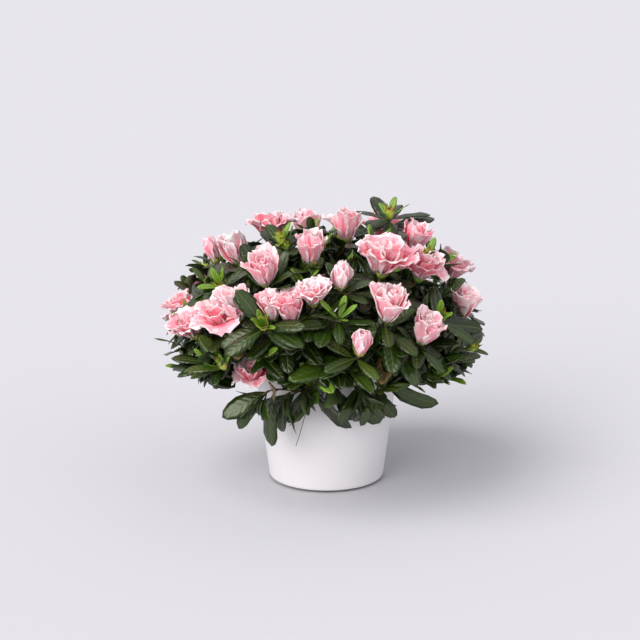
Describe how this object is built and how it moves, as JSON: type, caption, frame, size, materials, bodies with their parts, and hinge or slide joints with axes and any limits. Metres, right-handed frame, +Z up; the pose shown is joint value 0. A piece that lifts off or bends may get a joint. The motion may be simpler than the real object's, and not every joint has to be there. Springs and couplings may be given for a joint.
{
  "type": "azalea shrub in a pot",
  "caption": "Low domed flowering azalea shrub with glossy leaves and ruffled pink blossoms, in a plain tapered glazed pot.",
  "frame": {"origin": "centre of the pot's flat underside", "axes": "+Z up along the pot's axis; the plant's front faces -Y, and +X is to the right seen from the front"},
  "size_m": [0.3171, 0.2977, 0.2609],
  "materials": {
    "pot": "satin",
    "soil": "matte",
    "bark": "matte",
    "foliage": "satin",
    "petals": "matte"
  },
  "bodies": {
    "root": {"pot": "pot", "soil": "soil", "trunk": "bark", "bough_skirt_1": "bark", "bough_skirt_2": "bark", "bough_skirt_3": "bark", "bough_skirt_4": "bark", "bough_skirt_5": "bark", "bough_skirt_6": "bark", "bough_skirt_7": "bark", "bough_shoulder_1": "bark", "bough_shoulder_2": "bark", "bough_shoulder_3": "bark", "bough_shoulder_4": "bark", "bough_shoulder_5": "bark", "bough_top": "bark", "foliage_skirt_1": "foliage", "foliage_skirt_2": "foliage", "foliage_skirt_3": "foliage", "foliage_skirt_4": "foliage", "foliage_skirt_5": "foliage", "foliage_skirt_6": "foliage", "foliage_skirt_7": "foliage", "foliage_shoulder_1": "foliage", "foliage_shoulder_2": "foliage", "foliage_shoulder_3": "foliage", "foliage_shoulder_4": "foliage", "foliage_shoulder_5": "foliage", "foliage_top": "foliage"}
  },
  "joints": []
}
